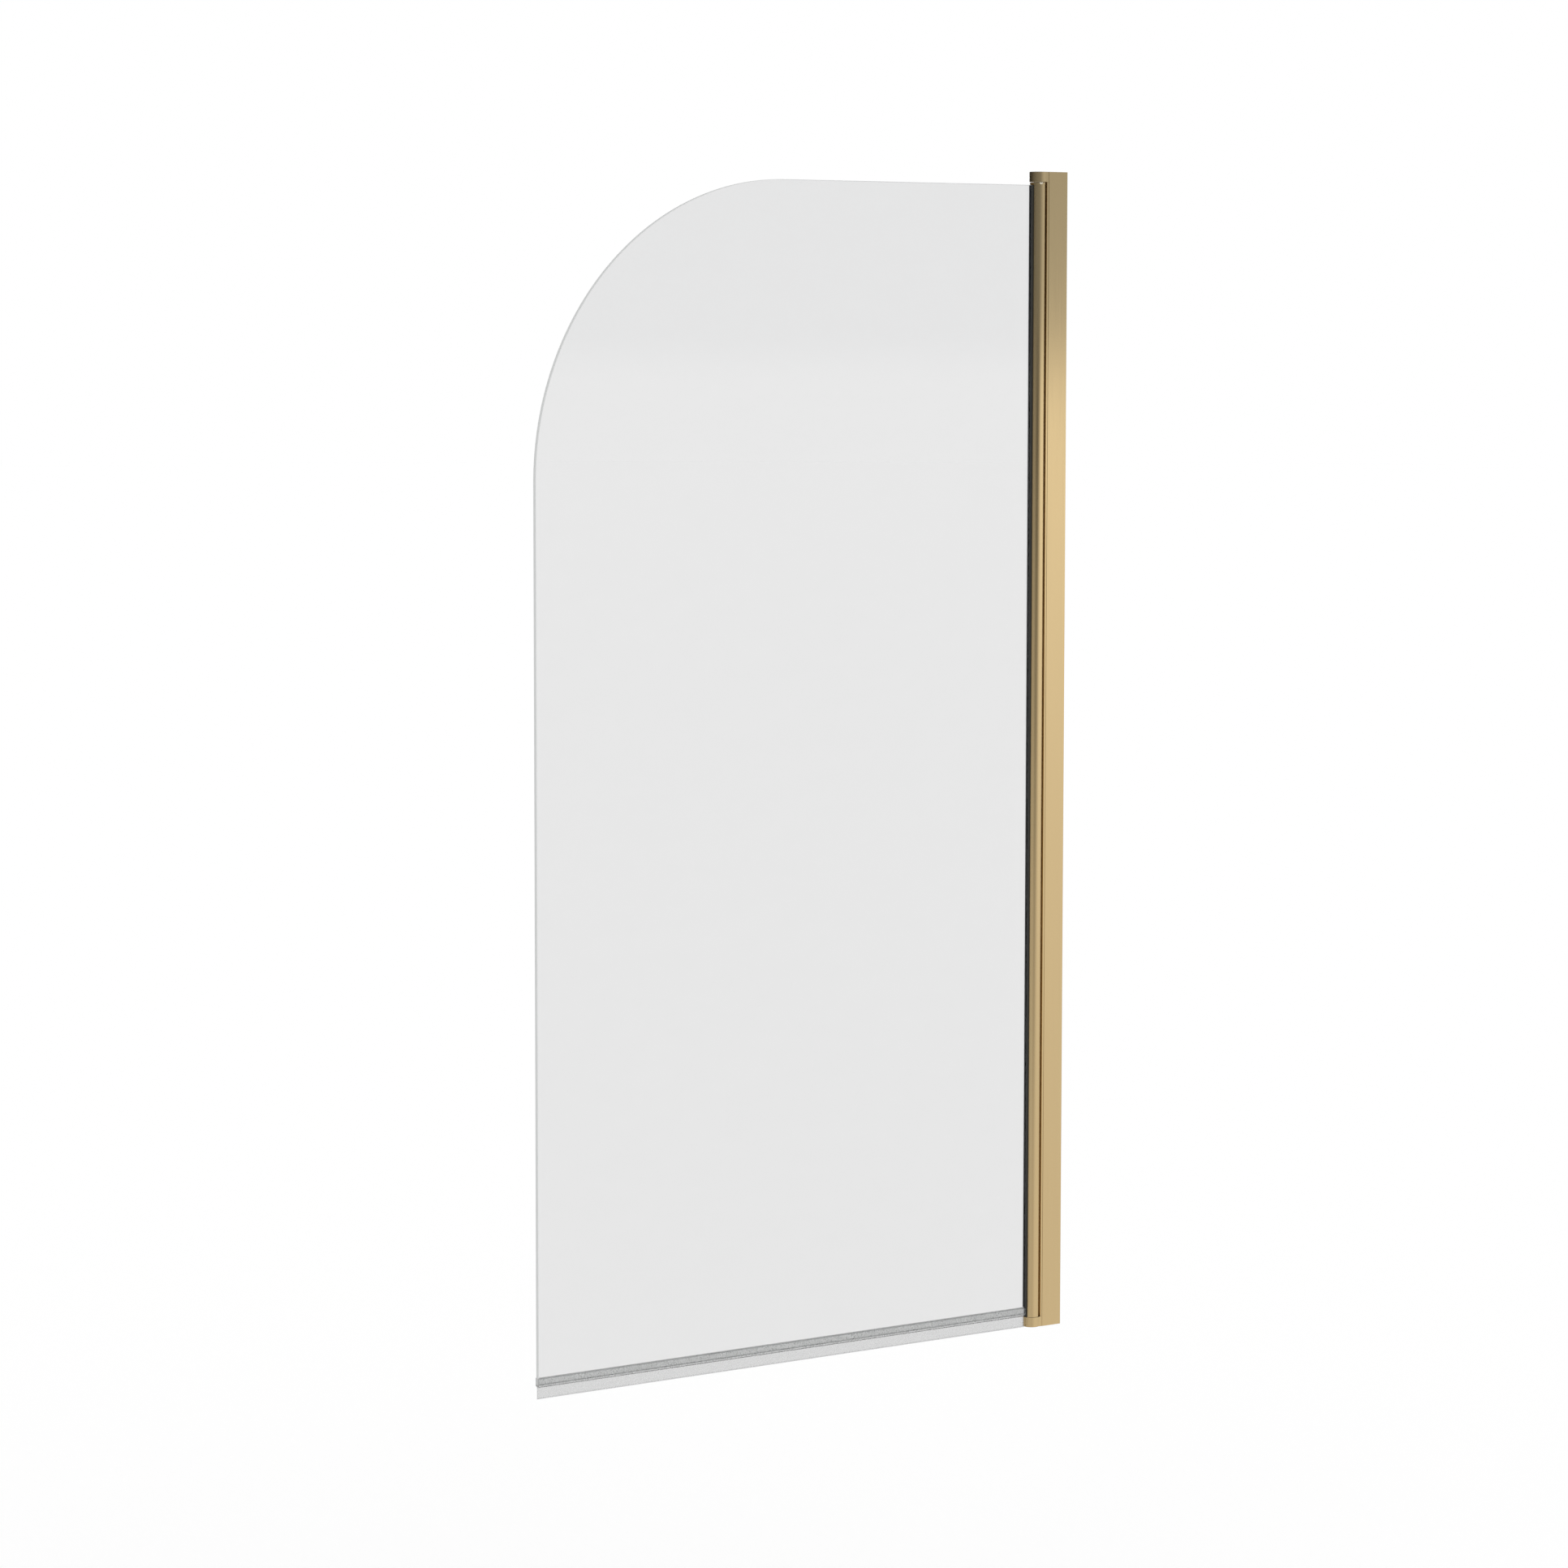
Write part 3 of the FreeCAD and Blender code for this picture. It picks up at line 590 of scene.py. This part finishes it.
def softened(node, width):
    """Copy of a frame node with its flat faces whole and its sharp edges rounded."""
    shell = bmesh.new()
    shell.from_mesh(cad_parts[node].data)
    bmesh.ops.remove_doubles(shell, verts=shell.verts, dist=0.001 * MM)
    flat = math.radians(0.5)
    bmesh.ops.dissolve_limit(shell, angle_limit=flat, verts=shell.verts, edges=shell.edges)
    mesh = bpy.data.meshes.new(node + "_sharp")
    shell.to_mesh(mesh)
    shell.free()
    for old in ("custom_normal", "sharp_edge", "sharp_face"):
        if old in mesh.attributes:
            mesh.attributes.remove(mesh.attributes[old])
    sharp = bpy.data.objects.new(node + "_sharp", mesh)
    bpy.context.scene.collection.objects.link(sharp)
    bevel = sharp.modifiers.new("edges", "BEVEL")
    bevel.width = width
    bevel.segments = 3
    bevel.limit_method = "ANGLE"
    bevel.angle_limit = math.radians(35)
    weighted = sharp.modifiers.new("normals", "WEIGHTED_NORMAL")
    weighted.weight = 100
    mesh.polygons.foreach_set("use_smooth", np.ones(len(mesh.polygons), bool))
    graph = bpy.context.evaluated_depsgraph_get()
    done = bpy.data.meshes.new_from_object(sharp.evaluated_get(graph))
    bpy.data.objects.remove(sharp)
    piece = bpy.data.objects.new(node + "_section", done)
    bpy.context.scene.collection.objects.link(piece)
    return piece


def paint(nodes, material):
    """Gives frame nodes a material."""
    for node in nodes:
        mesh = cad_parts[node].data
        mesh.materials.clear()
        mesh.materials.append(material)


# Operators


class BATHSCREEN_OT_brass(bpy.types.Operator):
    """Brushed brass sections, blocks, caps and washers"""

    bl_idname = "bathscreen.brass"
    bl_label = "Brass sections"

    def execute(self, context):
        brass = brushed_brass()
        for node, body in BRASS_SECTIONS.items():
            piece = softened(node, sizes().edge_round)
            finish_piece(piece, body, node, "brushed_brass", brass)
        paint(BRASS_FITTINGS, brass)
        return {"FINISHED"}


class BATHSCREEN_OT_hardware(bpy.types.Operator):
    """Steel pins and screws, nylon bushes and washers, rubber packers"""

    bl_idname = "bathscreen.hardware"
    bl_label = "Pins, screws and bushes"

    def execute(self, context):
        paint(STEEL_NODES, stainless_steel())
        paint(NYLON_NODES, nylon())
        paint(PACKER_NODES, black_rubber())
        return {"FINISHED"}


class BATHSCREEN_OT_glass(bpy.types.Operator):
    """Glass pane with one large round corner and a ground arris all round"""

    bl_idname = "bathscreen.glass"
    bl_label = "Glass pane"

    def execute(self, context):
        low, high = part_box("glass_panel")
        nip = sizes().glass_nip
        large = sizes().glass_corner
        steps = 128
        arris = sizes().glass_arris
        edge_profile = ((arris, low.y), (0, low.y + arris), (0, high.y - arris), (arris, high.y))
        rings = []
        for inset, y in edge_profile:
            left, right = low.x + inset, high.x - inset
            bottom, top = low.z + inset, high.z - inset
            corners = ((left, bottom), (right, bottom), (right, top), (left, top))
            ring = rounded(corners, np.array((nip, nip, nip, large)) - inset, steps)
            rings.append(np.column_stack((ring[:, 0], np.full(len(ring), y), ring[:, 1])))
        points = np.concatenate(rings)
        count = len(rings[0])
        faces = grid_faces(len(rings), count)
        front = np.arange(count)
        back = front[::-1] + (len(rings) - 1) * count
        pane = mesh_object("glass_pane", points, faces[:, ::-1], (front, back))
        finish_piece(pane, LEAF, "glass_panel", "safety_glass", safety_glass(), ground_edge())
        ground = np.zeros(len(pane.data.polygons), np.int32)
        ground[: len(faces)] = 1
        pane.data.polygons.foreach_set("material_index", ground)
        return {"FINISHED"}


class BATHSCREEN_OT_seal(bpy.types.Operator):
    """Bottom seal: a translucent clip on the glass's edge and a soft fin below it"""

    bl_idname = "bathscreen.seal"
    bl_label = "Bottom seal"

    def execute(self, context):
        self.clip()
        self.fin()
        return {"FINISHED"}

    def clip(self):
        """U section with rounded lower corners, clear of the glass by a film of air."""
        low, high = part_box("seal_clip")
        glass_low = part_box("glass_panel")[0]
        wall = sizes().clip_wall - sizes().seal_air
        inner = high.y - wall
        floor = glass_low.z - sizes().seal_air
        corners = (
            (low.y, high.z), (low.y, low.z), (high.y, low.z), (high.y, high.z),
            (inner, high.z), (inner, floor), (-inner, floor), (-inner, high.z),
        )
        lip = 0.3 * MM
        radii = (lip, wall, wall, lip, lip, 0.2 * MM, 0.2 * MM, lip)
        profile = rounded(corners, radii, 6)
        stations = np.linspace(low.x, high.x, 60)
        clip = carried("seal_clip_section", profile, stations, (1, 0, 0), (0, 1, 0), (0, 0, 1))
        plastic = seal_plastic(
            "seal_clip",
            tuple(finishes().clip),
            rough=0.26,
            mottle_depth=0.32,
            # painted shade along the clip's top edge
            band=(high.z - 1.3 * MM, high.z - 1.0 * MM),
            band_shade=0.66,
        )
        sawn = cut_plastic("clip_end", tuple(finishes().clip_end))
        finish_piece(clip, LEAF, "seal_clip", "seal_clip", plastic, sawn)
        cut_ends(clip)

    def fin(self):
        """Blade with a foot where it meets the clip and a bead along its lower edge."""
        low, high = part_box("seal_fin")
        bead = 0.8 * MM
        half = 0.5 * MM
        foot = high.y
        corners = (
            (-foot, high.z), (-half, high.z - foot), (-half, low.z + 2 * bead),
            (-bead, low.z + bead), (-bead, low.z), (bead, low.z), (bead, low.z + bead),
            (half, low.z + 2 * bead), (half, high.z - foot), (foot, high.z),
        )
        radii = np.array((0.1, 0.8, 0.5, 0.3, 0.5, 0.5, 0.3, 0.5, 0.8, 0.1)) * MM
        profile = rounded(corners, radii, 4)
        profile[:, 1] -= sizes().seal_air * (profile[:, 1] > high.z - half)
        stations = np.linspace(low.x, high.x, 60)
        fin = carried("seal_fin_blade", profile, stations, (1, 0, 0), (0, 1, 0), (0, 0, 1))
        plastic = seal_plastic(
            "seal_fin",
            tuple(finishes().fin),
            rough=0.2,
            mottle_depth=0.04,
            # painted shade along the fin's bead
            band=(low.z + 1.4 * MM, low.z + 1.0 * MM),
            band_shade=0.9,
        )
        sawn = cut_plastic("fin_end", tuple(finishes().fin_end))
        finish_piece(fin, LEAF, "seal_fin", "seal_fin", plastic, sawn)
        cut_ends(fin)


class BATHSCREEN_OT_gaskets(bpy.types.Operator):
    """Black gaskets between the tube and the glass"""

    bl_idname = "bathscreen.gaskets"
    bl_label = "Gaskets"

    def execute(self, context):
        paint(GASKET_NODES, black_rubber())
        return {"FINISHED"}


class BATHSCREEN_OT_stage(bpy.types.Operator):
    """Pale floor, soft studio light and the camera"""

    bl_idname = "bathscreen.stage"
    bl_label = "Floor, light and camera"

    def execute(self, context):
        context.scene.view_settings.view_transform = "Standard"
        self.floor(context)
        self.world(context)
        self.camera(context)
        return {"FINISHED"}

    def floor(self, context):
        """Round pale floor under the bath, far wider than any view shows."""
        turn = np.linspace(0, 2 * np.pi, 96, endpoint=False)
        reach = 60.0
        height = np.full(len(turn), -studio().floor_drop)
        points = np.column_stack((reach * np.cos(turn), reach * np.sin(turn), height))
        floor = mesh_object("floor", points, np.zeros((0, 4), int), (np.arange(len(turn)),))
        material = bpy.data.materials.new("floor")
        tree = Tree(material)
        paths = self.seen(tree)
        matt = tree.add("BsdfDiffuse", None, {"Color": (0.85, 0.85, 0.85, 1)})
        glow = tree.add("Emission", None, {"Strength": 0.15 * paths})
        tree.surface(tree.add("AddShader", None, {0: matt, 1: glow}))
        floor.data.materials.append(material)
        floor.visible_glossy = False

    def seen(self, tree):
        """1 for rays that come from the camera, straight or through glass."""
        straight = tree.add("LightPath", output="Is Camera Ray")
        through = tree.add("LightPath", output="Is Transmission Ray")
        return straight.maths("MAXIMUM", straight, through)

    def world(self, context):
        """White for the camera, a studio with a horizon for gloss, plain light for the rest."""
        world = bpy.data.worlds.new("studio")
        context.scene.world = world
        tree = Tree(world)
        light = studio()
        way = tree.add("TexCoord", output="Generated")
        height = tree.add("SeparateXYZ", None, {0: way}, output="Z")
        wallward = self.along(tree, way, 0)
        lit_wall = wallward.maths("MAXIMUM", wallward, 0.0)
        sky = light.sky_low + light.sky_front * (1 + self.along(tree, way, -90))
        sky = sky + light.sky_wall * lit_wall
        near = light.floor_near + light.floor_front * (0.5 + 0.5 * self.along(tree, way, -60))
        distant = tree.ramp(wallward, -0.065, 0.48, light.floor_low, light.floor_high)
        far = tree.add("MapRange", None, {0: height, 1: -0.2, 2: 0.0})
        dusk = tree.ramp(self.along(tree, way, 243), 0.88, 0.995, 0.0, light.floor_dusk)
        ground = (near + far * far * (distant - near)) * (1 - dusk * (0.3 + far))
        below = tree.ramp(height, -0.011, 0.0, 1.0, 0.0)
        seen = self.seen(tree)
        hidden = 1 - seen
        glossy = hidden * tree.add("LightPath", output="Is Glossy Ray")
        plain = hidden * (1 - glossy) * light.lamp_level
        level = seen + plain + glossy * (below * ground + (1 - below) * sky)
        tint = tree.mix(glossy * (1 - below), (1, 1, 1), (0.95, 1.0, 1.07))
        tree.surface(tree.add("Background", None, {"Color": tint, "Strength": level}))

    def along(self, tree, way, heading):
        """Cosine between a direction and a level heading, in degrees from +X towards +Y."""
        turn = math.radians(heading)
        values = {0: way, 1: (math.cos(turn), math.sin(turn), 0)}
        return tree.add("VectorMath", {"operation": "DOT_PRODUCT"}, values, output="Value")

    def camera(self, context):
        """Camera where the photo's perspective puts it."""
        lens = bpy.data.cameras.new("camera")
        lens.lens = 112.40
        lens.sensor_width = 36
        lens.clip_end = 200
        camera = bpy.data.objects.new("camera", lens)
        camera.location = (-3.7201, -4.6162, 1.2106)
        heading, pitch, roll = 54.365, -5.291, 0.0757
        look = Euler((math.radians(90 + pitch), 0, math.radians(heading - 90)), "XYZ").to_matrix()
        tilt = Euler((0, 0, math.radians(roll)), "XYZ").to_matrix()
        camera.rotation_euler = (look @ tilt).to_euler()
        context.scene.collection.objects.link(camera)
        context.scene.camera = camera


class BATHSCREEN_PT_panel(bpy.types.Panel):
    """Sizes, colours and light of the bath screen"""

    bl_idname = "BATHSCREEN_PT_panel"
    bl_label = "Bath screen"
    bl_space_type = "VIEW_3D"
    bl_region_type = "UI"
    bl_category = "Bath screen"

    def draw(self, context):
        for group in (sizes(), finishes(), studio()):
            box = self.layout.box()
            for name in group.__annotations__:
                box.prop(group, name)
        for operator in OPERATORS:
            self.layout.operator(operator.bl_idname)


OPERATORS = (
    BATHSCREEN_OT_stage,
    BATHSCREEN_OT_brass,
    BATHSCREEN_OT_hardware,
    BATHSCREEN_OT_glass,
    BATHSCREEN_OT_gaskets,
    BATHSCREEN_OT_seal,
)
CLASSES = (ScreenSizes, ScreenFinishes, StudioLight, *OPERATORS, BATHSCREEN_PT_panel)


def register():
    for kind in CLASSES:
        bpy.utils.register_class(kind)
    bpy.types.Scene.screen_sizes = PointerProperty(type=ScreenSizes)
    bpy.types.Scene.screen_finishes = PointerProperty(type=ScreenFinishes)
    bpy.types.Scene.studio_light = PointerProperty(type=StudioLight)


def unregister():
    del bpy.types.Scene.studio_light
    del bpy.types.Scene.screen_finishes
    del bpy.types.Scene.screen_sizes
    for kind in reversed(CLASSES):
        bpy.utils.unregister_class(kind)


def main():
    """Registers the add-on and runs its operators, which build the looks."""
    register()
    for operator in OPERATORS:
        group, name = operator.bl_idname.split(".")
        getattr(getattr(bpy.ops, group), name)()


if __name__ == "__main__":
    main()
